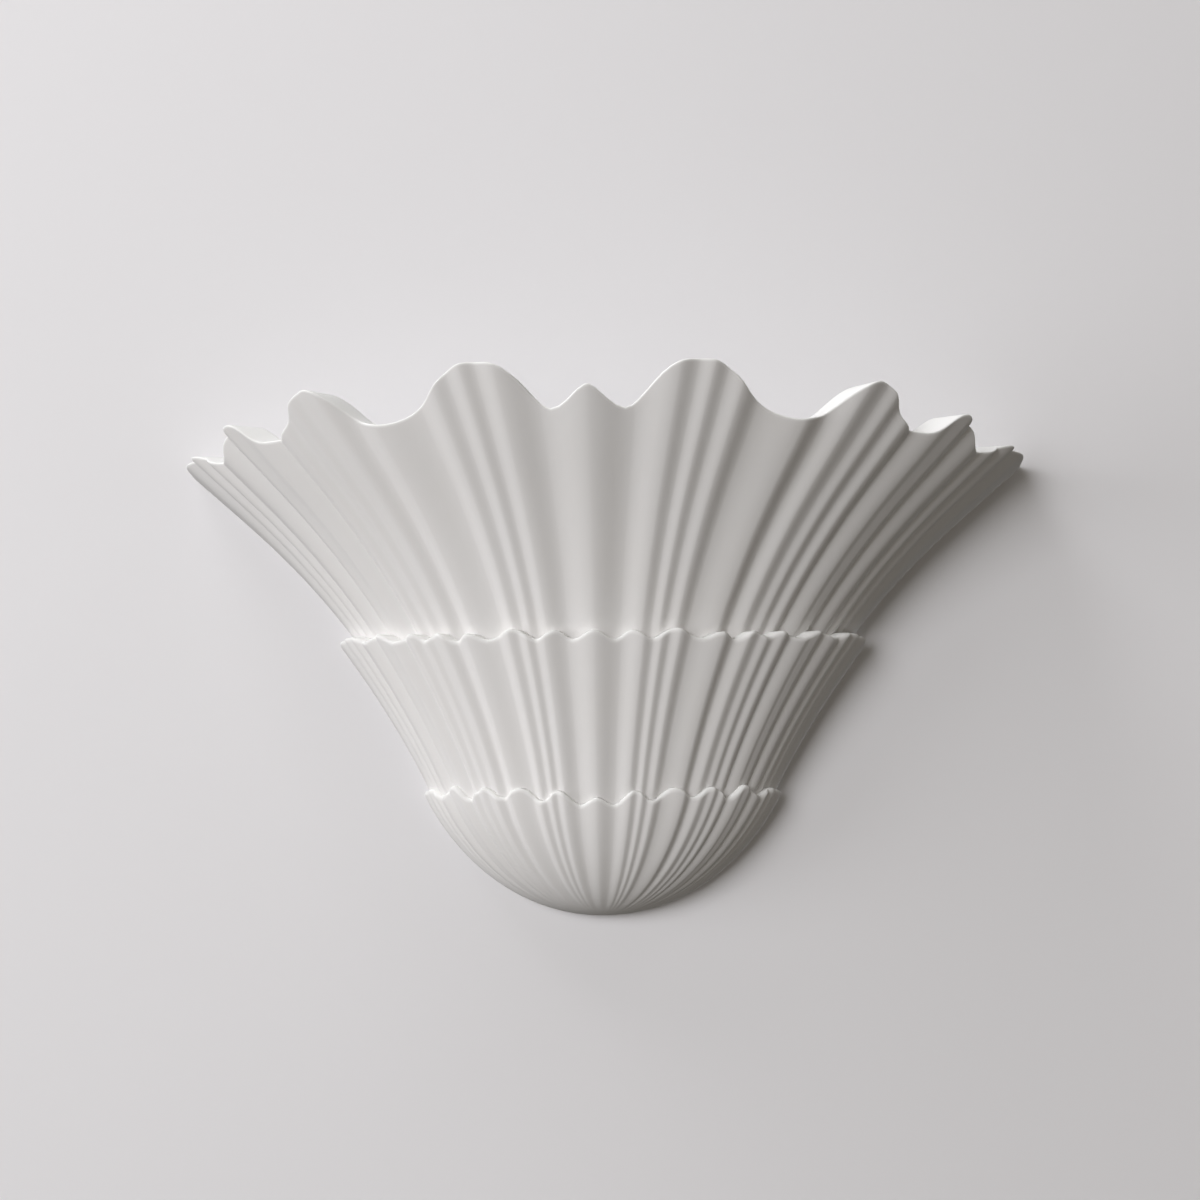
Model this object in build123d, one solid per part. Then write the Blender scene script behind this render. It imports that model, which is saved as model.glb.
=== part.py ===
"""Shell wall sconce: a hanging plaster shade in three fluted tiers, and the lamp bracket behind it.

Millimetres. Z is up, the front faces -Y and the wall is the plane Y = 0. Shapes are drawn with heights
measured from the bottom of the bowl, and are moved down at the end so that the origin is the middle of
the wall plate's back face.
"""
from build123d import *
import math
import os

import numpy as np

# ---------------------------------------------------------------- overall
PLAN_RATIO = 0.60          # depth of the plan ellipse over its half width
MOUNT_HEIGHT = 200.0       # height of the origin above the bottom of the bowl
FILM = 0.2                 # bonding plaster between two tiers

# ---------------------------------------------------------------- tier profiles (half width at the wall)
# height and half width low down, slope there, then height and half width where the upper tier turns
# straight; the middle tier's curve reaches its own half width at the upper tier's foot
UPPER_FOOT, UPPER_RADIUS, UPPER_SLOPE, UPPER_TURN, UPPER_REACH = 187.0, 171.0, 0.72, 281.0, 258.65
MIDDLE_FOOT, MIDDLE_RADIUS, MIDDLE_SLOPE, MIDDLE_REACH = 93.0, 123.8, 0.525, 184.4
BOWL_HEIGHT, BOWL_RADIUS = 175.0, 145.7    # half axes of the bowl's upright ellipse
UPPER_WALL_FOOT = 16.0     # level thickness of the upper tier at its foot, measured at the wall
UPPER_WALL_RIM = 26.0      # and at the height below, where the rim shows its full width
UPPER_WALL_UP = 330.0
MIDDLE_WALL = 12.0         # level thickness of the two lower tiers
BOWL_WALL = 12.0
MIDDLE_LEDGE = 152.0       # half width inside the middle tier at the upper tier's foot, which it carries
BOWL_LEDGE = 107.0         # half width inside the bowl's rim, on which the middle tier stands
POLE = 0.3                 # height at which the bowl's skin ends in a small flat
POLE_WALL = 10.0           # thickness of the bowl at its pole

# ---------------------------------------------------------------- flutes: angle from the front, level, sharp
RELIEF = 0.015             # height of a full flute over the half width
FLUTES = [
    (0.0, 1.0, False), (5.9, -1.0, False), (10.5, 0.9, False), (12.7, 0.0, False), (14.4, 0.75, False),
    (16.3, -0.05, False), (18.3, 0.75, False), (21.5, -0.9, False), (28.1, 1.0, False), (31.6, -1.0, True),
    (34.5, 0.75, False), (37.4, -0.1, False), (39.2, 0.5, False), (41.5, -0.25, False), (43.5, 0.55, False),
    (46.3, -0.9, True), (50.5, 0.8, False), (52.5, 0.4, False), (54.5, 0.35, False), (57.0, -1.0, True),
    (61.0, 0.6, False), (64.6, -0.5, True), (67.0, 0.5, False), (69.4, -0.6, True), (72.2, 0.45, False),
    (75.3, -0.75, True), (80.0, 0.1, False), (86.0, -0.35, True), (90.0, 0.4, False),
]
FLUTE_SOFT = 0.3           # angle over which the flutes' creases are rounded
FLUTE_FADE = 9.0           # height over which the flutes fade out at the pole
STEPS, ROWS = 3, 9         # columns between two flute points, and rows, of each skin

# ---------------------------------------------------------------- rims: angle from the front, height
UPPER_RIM = [
    (0.0, 326.0), (2.5, 316.9), (4.7, 312.4), (6.2, 317.2), (7.6, 325.3), (9.3, 334.8), (11.5, 339.0),
    (13.4, 339.4), (15.4, 337.3), (16.9, 333.2), (19.2, 323.8), (21.3, 318.2), (23.8, 312.1), (27.2, 308.7),
    (30.4, 311.8), (31.8, 315.2), (32.7, 322.6), (34.2, 330.2), (35.8, 333.6), (37.5, 332.3), (39.4, 326.8),
    (41.2, 321.6), (43.0, 314.1), (46.9, 309.7), (49.2, 309.2), (50.8, 312.8), (51.7, 319.0), (53.2, 323.4),
    (55.6, 321.4), (58.4, 316.1), (60.4, 309.2), (62.6, 306.2), (66.0, 307.2), (69.1, 312.0), (71.4, 315.4),
    (78.0, 315.4), (90.0, 314.6),
]
MIDDLE_RIM = [
    (0.0, 182.2), (4.7, 176.2), (8.0, 182.6), (12.6, 177.0), (17.4, 183.7), (24.3, 177.7), (27.7, 182.2),
    (32.9, 178.1), (35.5, 184.0), (40.4, 180.0), (43.0, 184.9), (49.8, 181.3), (55.2, 187.5), (62.3, 184.3),
    (68.6, 189.6), (77.0, 189.8), (90.0, 187.0),
]
BOWL_RIM = [
    (0.0, 75.6), (5.5, 70.9), (12.3, 80.3), (18.3, 73.7), (25.0, 82.4), (33.1, 76.7), (38.9, 83.5),
    (47.6, 76.9), (52.8, 85.9), (63.0, 79.6), (71.0, 85.5), (83.0, 84.8), (90.0, 82.5),
]
RIM_SOFT = 0.8             # angle over which crests and valleys of a rim are rounded

# ---------------------------------------------------------------- wall plate
SHEET = 1.5                # all bent steel
PLATE_WIDE = 180.0
PLATE_BOTTOM, PLATE_TOP = 105.0, 236.0
PLATE_CORNER = 6.0
SLOT_X, SLOT_UP, SLOT_LONG, SLOT_WIDE = 60.0, 215.0, 16.0, 5.0
HOLE_X, HOLE_UP, HOLE_RADIUS = 60.0, 120.0, 2.5
HOOK_X, HOOK_WIDE, HOOK_RISE, HOOK_CORNER = 70.0, 20.0, 10.0, 3.0
CABLE_UP, CABLE_RADIUS = 155.0, 7.0
GROMMET_BORE, GROMMET_FLANGE = 4.5, 9.5
TRAY_STUD, EARTH_STUD = 10.0, 8.0

# ---------------------------------------------------------------- hanging bar and plaster lugs
BAR_TALL, BAR_THICK, BAR_BACK, BAR_CORNER = 20.0, 3.0, -4.5, 4.0
BAR_GAP = 6.0              # between each end of the bar and the shell
BAR_PLAY = 0.3             # between the bar's front and the hook's lip
SCREW_MARGIN = 14.0        # from each end of the bar to the screw in it
LUG_MARGIN, LUG_DEEP, LUG_TALL = 14.0, 20.0, 26.0    # inwards from the screw, and the lug's own size
LUG_REACH = 4.0            # how far a lug runs into the shell's wall
INSERT_RADIUS, INSERT_LONG = 3.0, 10.0
BLIND = 2.0                # how far a blind hole runs past the insert in it

# ---------------------------------------------------------------- lamp tray
TRAY_WIDE, TRAY_FRONT, TRAY_UP, TRAY_CORNER = 156.0, -54.0, 178.0, 10.0
FLANGE_TALL, FLANGE_STUD_X, FLANGE_STUD_UP = 22.0, 30.0, 190.0

# ---------------------------------------------------------------- lampholder and capsule lamp
LAMP_X, LAMP_Y = 55.0, -42.0
HOLDER_WIDE, HOLDER_DEEP, HOLDER_TALL = 20.0, 15.0, 22.0
FOOT_WIDE, FOOT_TALL, FOOT_SCREW, FOOT_CORNER = 34.0, 4.0, 13.0, 3.0
EDGE = 1.5                 # rounded upright edges of the ceramic holder and the lamp base
PIN_PITCH = 9.0            # distance between the lamp's two pins
CLIP_WIDE, CLIP_DEEP, CLIP_POCKET, CLIP_TALL, CLIP_FLOOR = 3.0, 2.4, 14.0, 12.0, 2.0
PIN_WIRE, PIN_LOOP, PIN_LEG = 0.35, 1.0, 5.5
PIN_PLAY = 0.05
BASE_WIDE, BASE_DEEP, BASE_TALL = 15.0, 9.0, 9.0
CAP_TALL, COVER_RADIUS, COVER_WALL, COVER_TALL = 3.0, 8.0, 0.8, 32.0
BOARD_WIDE, BOARD_THICK, BOARD_TALL = 9.0, 1.0, 30.0
CHIP, CHIP_THICK, CHIP_ROWS, CHIP_PITCH, CHIP_UP = 2.8, 0.7, 5, 5.4, 4.0

# ---------------------------------------------------------------- terminal block
POLE_PITCH, BLOCK_BOTTOM, BLOCK_TALL, BLOCK_DEEP = 10.0, 120.0, 16.0, 14.0
BLOCK_EDGE = 1.0
INSERT_SQUARE, INSERT_TALL, WIRE_BORE = 5.4, 12.0, 1.9
TERMINAL_OFFSET = 4.0      # clamping screws above and below the middle of the block
TERMINAL_SHANK, TERMINAL_HEAD, TERMINAL_TALL = 1.3, 2.0, 2.2
DRIVE_DEEP, DRIVE_WIDE = 0.7, 0.6
SEAT_WALL = 0.7            # housing left between a nut's seat and the inserts
BLOCK_STUD_X = POLE_PITCH / 2

# ---------------------------------------------------------------- fasteners
THREAD_PLAY = 0.05
HOLE_PLAY = 0.2
# shank radius, width across flats, nut height, head radius
M3, M3_FLATS, M3_NUT, M3_HEAD = 1.5, 5.5, 2.4, 2.8
M4, M4_FLATS, M4_NUT, M4_HEAD = 2.0, 7.0, 3.2, 4.0
HEAD_TALL, HEAD_ROUND = 0.6, 0.4    # height of a pan head over its radius, rounding over its height
PROUD = 1.0                # thread that shows past a nut

# ---------------------------------------------------------------- leads
LEAD, CORE = 1.0, 0.5
LEAD_PITCH = 2.3           # two leads side by side in one pole
SIDE_DROP, CROSS_DROP, LOW_DROP = 13.0, 20.0, 28.0   # levels of the leads below the tray
EARTH_X, EARTH_UP = -45.0, 135.0
RING, RING_THICK, BARREL, BARREL_LONG = 4.2, 0.8, 1.8, 6.0
NECK_WIDE, NECK_LONG = 3.2, 4.5
EARTH_DROP = 10.0          # how far the earth lead dips below the block
CORE_SHORT = 1.0           # how far a core ends before the middle of its pole, and a lead inside its barrel

FRONT = -SHEET             # front face of the wall plate
LIVE_X, NEUTRAL_X = -POLE_PITCH, POLE_PITCH
WIRE_Y = FRONT - BLOCK_DEEP / 2
TRAY_TOP = TRAY_UP + SHEET
HOLDER_TOP = TRAY_TOP + HOLDER_TALL
CAP_UP = HOLDER_TOP + BASE_TALL + CAP_TALL


# ================================================================ curves of the shade
def smooth(table, angle):
    """Monotone cubic through a table of (angle, value) points, level at both ends."""
    x = np.array([row[0] for row in table])
    y = np.array([row[1] for row in table])
    step = np.diff(x)
    rise = np.diff(y) / step
    slope = np.zeros(len(x))
    for k in range(1, len(x) - 1):
        if rise[k - 1] * rise[k] > 0:
            near, far = 2 * step[k] + step[k - 1], step[k] + 2 * step[k - 1]
            slope[k] = (near + far) / (near / rise[k - 1] + far / rise[k])
    k = int(np.clip(np.searchsorted(x, angle) - 1, 0, len(x) - 2))
    s = (angle - x[k]) / step[k]
    start = y[k] * (1 + 2 * s) + step[k] * slope[k] * s
    end = y[k + 1] * (3 - 2 * s) - step[k] * slope[k + 1] * (1 - s)
    return start * (1 - s) ** 2 + end * s ** 2


def soften(curve, angle, reach):
    """A curve of the angle from the front, its crests and creases rounded over reach degrees."""
    before, after = curve(abs(angle - reach)), curve(min(angle + reach, 90.0))
    return (before + 2 * curve(angle) + after) / 4


def flute(angle):
    """Flute level at an angle: rounded at plain points, creased at sharp ones."""
    for (a0, v0, sharp0), (a1, v1, sharp1) in zip(FLUTES, FLUTES[1:]):
        if angle <= a1:
            s = (angle - a0) / (a1 - a0)
            if sharp0 and sharp1:
                blend = s
            elif sharp0:
                blend = math.sin(s * math.pi / 2)
            elif sharp1:
                blend = 1 - math.cos(s * math.pi / 2)
            else:
                blend = (1 - math.cos(s * math.pi)) / 2
            return v0 + (v1 - v0) * blend
    return FLUTES[-1][1]


def flare(height, foot, radius, slope, turn, reach):
    """Half width of a curve that leaves foot at a slope, passes reach at turn and runs straight above."""
    curve = (reach - radius - slope * (turn - foot)) / (turn - foot) ** 2
    rise = min(height, turn) - foot
    straight = max(height - turn, 0.0)
    return radius + slope * rise + curve * rise ** 2 + straight * (slope + 2 * curve * rise)


def upper_radius(height):
    return flare(height, UPPER_FOOT, UPPER_RADIUS, UPPER_SLOPE, UPPER_TURN, UPPER_REACH)


def middle_radius(height):
    return flare(height, MIDDLE_FOOT, MIDDLE_RADIUS, MIDDLE_SLOPE, UPPER_FOOT, MIDDLE_REACH)


def bowl_radius(height):
    return BOWL_RADIUS * math.sqrt(max(1 - (1 - height / BOWL_HEIGHT) ** 2, 0.0))


def bowl_inside(height):
    """Inside of the bowl: the same ellipse shrunk by the wall, upright below its rim."""
    low = height - POLE_WALL
    shrunk = (BOWL_RADIUS - BOWL_WALL) * math.sqrt(max(1 - (1 - low / (BOWL_HEIGHT - POLE_WALL)) ** 2, 0.0))
    return min(shrunk, BOWL_LEDGE)


def middle_inside(height):
    return flare(height, MIDDLE_FOOT, MIDDLE_RADIUS - MIDDLE_WALL, MIDDLE_SLOPE, UPPER_FOOT, MIDDLE_LEDGE)


def upper_inside(height):
    share = (height - UPPER_FOOT) / (UPPER_WALL_UP - UPPER_FOOT)
    return upper_radius(height) - UPPER_WALL_FOOT - (UPPER_WALL_RIM - UPPER_WALL_FOOT) * share


def spot(radius, angle, height):
    turn = math.radians(angle)
    return Vector(radius * math.sin(turn), -PLAN_RATIO * radius * math.cos(turn), height)


# ================================================================ shells
def flute_angles():
    """Columns of a skin: each flute point and the steps between it and the next."""
    marks = [a for a, _, _ in FLUTES]
    right = [a + (b - a) * k / STEPS for a, b in zip(marks, marks[1:]) for k in range(STEPS)] + [marks[-1]]
    return [-a for a in reversed(right[1:])] + right


def skin(radius_at, low, high, fluted=0.0, fade=None):
    """Face from wall to wall between two heights that may wave, lofted through level-like rows."""
    angles = flute_angles()
    wires = []
    for k in range(ROWS + 1):
        # rows crowd towards the pole, where the bowl turns fastest
        share = (k / ROWS) ** (2.0 if fade else 1.0)
        row = []
        for angle in angles:
            start, end = low(abs(angle)), high(abs(angle))
            height = start + (end - start) * share
            depth = fluted * soften(flute, abs(angle), FLUTE_SOFT)
            if fade:
                depth *= 1 - math.exp(-height / fade)
            row.append(spot(radius_at(height) * (1 + depth), angle, height))
        marks = [(a - angles[0]) / (angles[-1] - angles[0]) for a in angles]
        wires.append(Wire([Edge.make_spline(row, parameters=marks)]))
    return Shell.make_loft(wires).faces()[0]


def ends(face):
    """A skin's four edges: low, high, left and right."""
    edges = face.edges()
    at_wall = [e for e in edges if abs((e @ 0.5).Y) < 0.05]
    others = [e for e in edges if e not in at_wall]
    left, right = sorted(at_wall, key=lambda e: (e @ 0.5).X)
    low, high = sorted(others, key=lambda e: (e @ 0.5).Z)
    return low, high, left, right


between = Face.make_surface_from_curves


def tier(outside, inside):
    """Solid between two skins that are open at the bottom."""
    low, high, left, right = ends(outside)
    low_in, high_in, left_in, right_in = ends(inside)
    faces = [outside, inside]
    faces += [between(low, low_in), between(high, high_in), between(left, left_in), between(right, right_in)]
    return Solid(Shell(faces))


def bowl(outside, inside):
    """Solid between two skins that end in small flats at the pole."""
    low, high, left, right = ends(outside)
    low_in, high_in, left_in, right_in = ends(inside)
    faces = [outside, inside, between(high, high_in), between(left, left_in), between(right, right_in)]
    for edge in (low, low_in):
        chord = Edge.make_line(edge @ 0, edge @ 1)
        faces.append(Face(Wire([edge, chord])))
    corners = [low @ 0, low @ 1, low_in @ 1, low_in @ 0]
    if (low @ 0 - low_in @ 0).length > (low @ 0 - low_in @ 1).length:
        corners[2], corners[3] = corners[3], corners[2]
    sides = [Edge.make_line(corners[k], corners[(k + 1) % 4]) for k in range(4)]
    faces.append(Face(Wire(sides)))
    return Solid(Shell(faces))


def level(height):
    return lambda angle: height


def rim(table, lift=0.0):
    return lambda angle: soften(lambda at: smooth(table, at), angle, RIM_SOFT) + lift


# ================================================================ small helpers
UP = (Align.CENTER, Align.CENTER, Align.MIN)


def block(x0, x1, y0, y1, z0, z1):
    middle = Pos((x0 + x1) / 2, (y0 + y1) / 2, (z0 + z1) / 2)
    return middle * Box(abs(x1 - x0), abs(y1 - y0), abs(z1 - z0))


def rod(radius, length):
    return Cylinder(radius, length, align=UP)


def forward(shape, x, y, height):
    """Place a shape drawn along +Z so that it points to the front."""
    return Pos(x, y, height) * Rot(90, 0, 0) * shape


def nut(flats, height, shank):
    outline = RegularPolygon(flats / 2, 6, major_radius=False) - Circle(shank + THREAD_PLAY)
    return extrude(outline, height)


def screw(shank, length, head):
    """Pan-head screw pointing up, its head below the origin."""
    tall = HEAD_TALL * head
    top = fillet(rod(head, tall).faces().sort_by(Axis.Z)[0].edges(), tall * HEAD_ROUND)
    return Pos(0, 0, -tall) * top + rod(shank, length)


def lead(points, core):
    """Insulated lead along straight runs and arcs, with bared ends given as lengths."""
    turns = []
    for before, corner, after in zip(points, points[1:], points[2:]):
        come, go = Vector(*corner) - Vector(*before), Vector(*after) - Vector(*corner)
        half = math.radians(come.get_angle(go)) / 2
        turns.append(0.45 * min(come.length, go.length) / math.tan(half))
    print("lead bend radii", [round(t, 1) for t in turns])
    path = FilletPolyline(*points, radius=turns)
    body = sweep(Plane(path @ 0, z_dir=path % 0) * Circle(LEAD), path=path)
    tip = Plane(path @ 0, z_dir=-(path % 0)) * rod(CORE, core)
    return body + tip


# ================================================================ shade
upper_outside = skin(upper_radius, rim(MIDDLE_RIM, FILM), rim(UPPER_RIM), RELIEF)
upper_shell = tier(upper_outside, skin(upper_inside, rim(MIDDLE_RIM, FILM), rim(UPPER_RIM)))
middle_outside = skin(middle_radius, rim(BOWL_RIM, FILM), rim(MIDDLE_RIM), RELIEF)
middle_shell = tier(middle_outside, skin(middle_inside, rim(BOWL_RIM, FILM), rim(MIDDLE_RIM)))
bowl_outside = skin(bowl_radius, level(POLE), rim(BOWL_RIM), RELIEF, FLUTE_FADE)
lower_bowl = bowl(bowl_outside, skin(bowl_inside, level(POLE + POLE_WALL), rim(BOWL_RIM), 0.0, FLUTE_FADE))

BAR_FRONT = BAR_BACK - BAR_THICK
BAR_LOW = PLATE_TOP
BAR_MIDDLE = BAR_LOW + BAR_TALL / 2
bar_end = upper_inside(BAR_LOW) - BAR_GAP
screw_x = bar_end - SCREW_MARGIN
lug_inner = screw_x - LUG_MARGIN
lug_low, lug_high = BAR_MIDDLE - LUG_TALL / 2, BAR_MIDDLE + LUG_TALL / 2
lug_shape = Polygon(
    (lug_inner, lug_low),
    (upper_inside(lug_low) + LUG_REACH, lug_low),
    (upper_inside(lug_high) + LUG_REACH, lug_high),
    (lug_inner, lug_high),
    align=None,
)
lug = Pos(0, BAR_FRONT, 0) * Rot(90, 0, 0) * extrude(lug_shape, LUG_DEEP)
insert_hole = forward(rod(INSERT_RADIUS, INSERT_LONG + BLIND), screw_x, BAR_FRONT, BAR_MIDDLE)
for side in (lug, mirror(lug, Plane.YZ)):
    upper_shell = upper_shell + side
upper_shell = upper_shell - insert_hole - mirror(insert_hole, Plane.YZ)

hanger_bar = forward(extrude(Rectangle(2 * bar_end, BAR_TALL), BAR_THICK), 0, BAR_BACK, BAR_MIDDLE)
hanger_bar = fillet(hanger_bar.edges().filter_by(Axis.Y), BAR_CORNER)
hanger_screws, hanger_inserts = [], []
for x in (-screw_x, screw_x):
    hanger_bar = hanger_bar - forward(rod(M4 + HOLE_PLAY, BAR_THICK), x, BAR_BACK, BAR_MIDDLE)
    hanger_screw = screw(M4, BAR_THICK + INSERT_LONG, M4_HEAD)
    hanger_screws.append(forward(hanger_screw, x, BAR_BACK, BAR_MIDDLE))
    insert = rod(INSERT_RADIUS, INSERT_LONG) - rod(M4 + THREAD_PLAY, INSERT_LONG)
    hanger_inserts.append(forward(insert, x, BAR_FRONT, BAR_MIDDLE))

# ================================================================ wall plate
wall_plate = block(-PLATE_WIDE / 2, PLATE_WIDE / 2, 0, FRONT, PLATE_BOTTOM, PLATE_TOP)
wall_plate = fillet(wall_plate.edges().filter_by(Axis.Y), PLATE_CORNER)
hook_back = BAR_FRONT - BAR_PLAY
for x in (-HOOK_X, HOOK_X):
    x0, x1 = x - HOOK_WIDE / 2, x + HOOK_WIDE / 2
    wall_plate = wall_plate + block(x0, x1, 0, hook_back - SHEET, PLATE_TOP - SHEET, PLATE_TOP)
    lip = block(x0, x1, hook_back, hook_back - SHEET, PLATE_TOP - SHEET, PLATE_TOP + HOOK_RISE)
    wall_plate = wall_plate + fillet(lip.edges().filter_by(Axis.Y).group_by(Axis.Z)[-1], HOOK_CORNER)
for x in (-SLOT_X, SLOT_X):
    wall_plate = wall_plate - forward(extrude(SlotOverall(SLOT_LONG, SLOT_WIDE), SHEET), x, 0, SLOT_UP)
for x in (-HOLE_X, HOLE_X):
    wall_plate = wall_plate - forward(rod(HOLE_RADIUS, SHEET), x, 0, HOLE_UP)
wall_plate = wall_plate - forward(rod(CABLE_RADIUS, SHEET), 0, 0, CABLE_UP)

grommet = rod(CABLE_RADIUS, SHEET) + Pos(0, 0, SHEET) * rod(GROMMET_FLANGE, SHEET)
grommet = fillet(grommet.edges().filter_by(GeomType.CIRCLE).sort_by(Axis.Z)[-1], SHEET / 2)
cable_grommet = forward(grommet - rod(GROMMET_BORE, 2 * SHEET), 0, 0, CABLE_UP)

block_middle = BLOCK_BOTTOM + BLOCK_TALL / 2
block_front = FRONT - BLOCK_DEEP
insert_front = WIRE_Y - INSERT_SQUARE / 2
nut_seat = insert_front - SEAT_WALL
stud_spots = [(x, FLANGE_STUD_UP, M4, TRAY_STUD) for x in (-FLANGE_STUD_X, FLANGE_STUD_X)]
stud_spots += [(EARTH_X, EARTH_UP, M4, EARTH_STUD)]
block_stud = FRONT - nut_seat + M3_NUT + PROUD
stud_spots += [(x, block_middle, M3, block_stud) for x in (-BLOCK_STUD_X, BLOCK_STUD_X)]
plate_studs = [forward(rod(r, length), x, FRONT, z) for x, z, r, length in stud_spots]

# ================================================================ lamp tray
tray = block(-TRAY_WIDE / 2, TRAY_WIDE / 2, FRONT, TRAY_FRONT, TRAY_UP, TRAY_TOP)
tray = fillet(tray.edges().filter_by(Axis.Z).group_by(Axis.Y)[0], TRAY_CORNER)
flange = block(-TRAY_WIDE / 2, TRAY_WIDE / 2, FRONT, FRONT - SHEET, TRAY_UP, TRAY_UP + FLANGE_TALL)
lamp_tray = tray + fillet(flange.edges().filter_by(Axis.Y).group_by(Axis.Z)[-1], PLATE_CORNER)
tray_nuts = []
for x in (-FLANGE_STUD_X, FLANGE_STUD_X):
    lamp_tray = lamp_tray - forward(rod(M4 + HOLE_PLAY, 2 * SHEET), x, FRONT, FLANGE_STUD_UP)
    tray_nuts.append(forward(nut(M4_FLATS, M4_NUT, M4), x, FRONT - SHEET, FLANGE_STUD_UP))
for x in (-LAMP_X, LAMP_X):
    for dx in (-PIN_PITCH / 2, PIN_PITCH / 2):
        lamp_tray = lamp_tray - Pos(x + dx, LAMP_Y, TRAY_UP) * rod(2 * LEAD, SHEET)
    for dx in (-FOOT_SCREW, FOOT_SCREW):
        lamp_tray = lamp_tray - Pos(x + dx, LAMP_Y, TRAY_UP) * rod(M3 + HOLE_PLAY, SHEET)


# ================================================================ lampholders and lamps
def lampholder(x):
    body = extrude(Rectangle(HOLDER_WIDE, HOLDER_DEEP), HOLDER_TALL)
    body = fillet(body.edges().filter_by(Axis.Z), EDGE)
    pocket = extrude(Rectangle(CLIP_WIDE, CLIP_DEEP), CLIP_POCKET)
    foot = extrude(Rectangle(FOOT_WIDE, HOLDER_DEEP), FOOT_TALL)
    body = body + fillet(foot.edges().filter_by(Axis.Z), FOOT_CORNER)
    for dx in (-PIN_PITCH / 2, PIN_PITCH / 2):
        body = body - Pos(dx, 0, HOLDER_TALL - CLIP_POCKET) * pocket
        body = body - Pos(dx, 0, 0) * rod(LEAD + HOLE_PLAY, HOLDER_TALL - CLIP_POCKET)
    for dx in (-FOOT_SCREW, FOOT_SCREW):
        body = body - Pos(dx, 0, 0) * rod(M3 + HOLE_PLAY, FOOT_TALL)
    return Pos(x, LAMP_Y, TRAY_TOP) * body


def clips(x):
    shapes = []
    for dx in (-PIN_PITCH / 2, PIN_PITCH / 2):
        clip = extrude(Rectangle(CLIP_WIDE, CLIP_DEEP), CLIP_TALL)
        gap = Pos(0, 0, CLIP_FLOOR) * extrude(Rectangle(CLIP_WIDE, 2 * (PIN_WIRE + PIN_PLAY)), CLIP_TALL)
        shapes.append(Pos(x + dx, LAMP_Y, HOLDER_TOP - CLIP_POCKET) * (clip - gap))
    return shapes


def foot_fasteners(x):
    screws, nuts = [], []
    for dx in (-FOOT_SCREW, FOOT_SCREW):
        down = Pos(x + dx, LAMP_Y, TRAY_TOP + FOOT_TALL) * Rot(180, 0, 0)
        screws.append(down * screw(M3, FOOT_TALL + SHEET + M3_NUT + PROUD, M3_HEAD))
        nuts.append(Pos(x + dx, LAMP_Y, TRAY_UP - M3_NUT) * nut(M3_FLATS, M3_NUT, M3))
    return screws, nuts


def lamp_base(x):
    body = extrude(Rectangle(BASE_WIDE, BASE_DEEP), BASE_TALL)
    body = fillet(body.edges().filter_by(Axis.Z), EDGE)
    return Pos(x, LAMP_Y, HOLDER_TOP) * (body + Pos(0, 0, BASE_TALL) * rod(COVER_RADIUS, CAP_TALL))


def lamp_pins(x):
    """Two wire loops that hang below the lamp's base."""
    start, low = Vector(-PIN_LOOP, 0, 0), Vector(-PIN_LOOP, 0, -PIN_LEG)
    finish, high = Vector(PIN_LOOP, 0, 0), Vector(PIN_LOOP, 0, -PIN_LEG)
    turn = Edge.make_three_point_arc(low, Vector(0, 0, -PIN_LEG - PIN_LOOP), high)
    path = Wire([Edge.make_line(start, low), turn, Edge.make_line(high, finish)])
    loop = sweep(Pos(-PIN_LOOP, 0, 0) * Circle(PIN_WIRE), path=path)
    return [Pos(x + dx, LAMP_Y, HOLDER_TOP) * loop for dx in (-PIN_PITCH / 2, PIN_PITCH / 2)]


def lamp_board(x):
    return Pos(x, LAMP_Y, CAP_UP) * extrude(Rectangle(BOARD_WIDE, BOARD_THICK), BOARD_TALL)


def lamp_chips(x):
    shapes = []
    for side in (-1, 1):
        middle = LAMP_Y + side * (BOARD_THICK + CHIP_THICK) / 2
        for column in (-1, 1):
            for row in range(CHIP_ROWS):
                place = Pos(x + column * BOARD_WIDE / 4, middle, CAP_UP + CHIP_UP + CHIP_PITCH * row)
                shapes.append(place * Box(CHIP, CHIP_THICK, CHIP))
    return shapes


def lamp_cover(x):
    inner_radius = COVER_RADIUS - COVER_WALL
    outer = rod(COVER_RADIUS, COVER_TALL) + Pos(0, 0, COVER_TALL) * Sphere(COVER_RADIUS)
    inner = rod(inner_radius, COVER_TALL) + Pos(0, 0, COVER_TALL) * Sphere(inner_radius)
    return Pos(x, LAMP_Y, CAP_UP) * (outer - inner)


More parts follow.
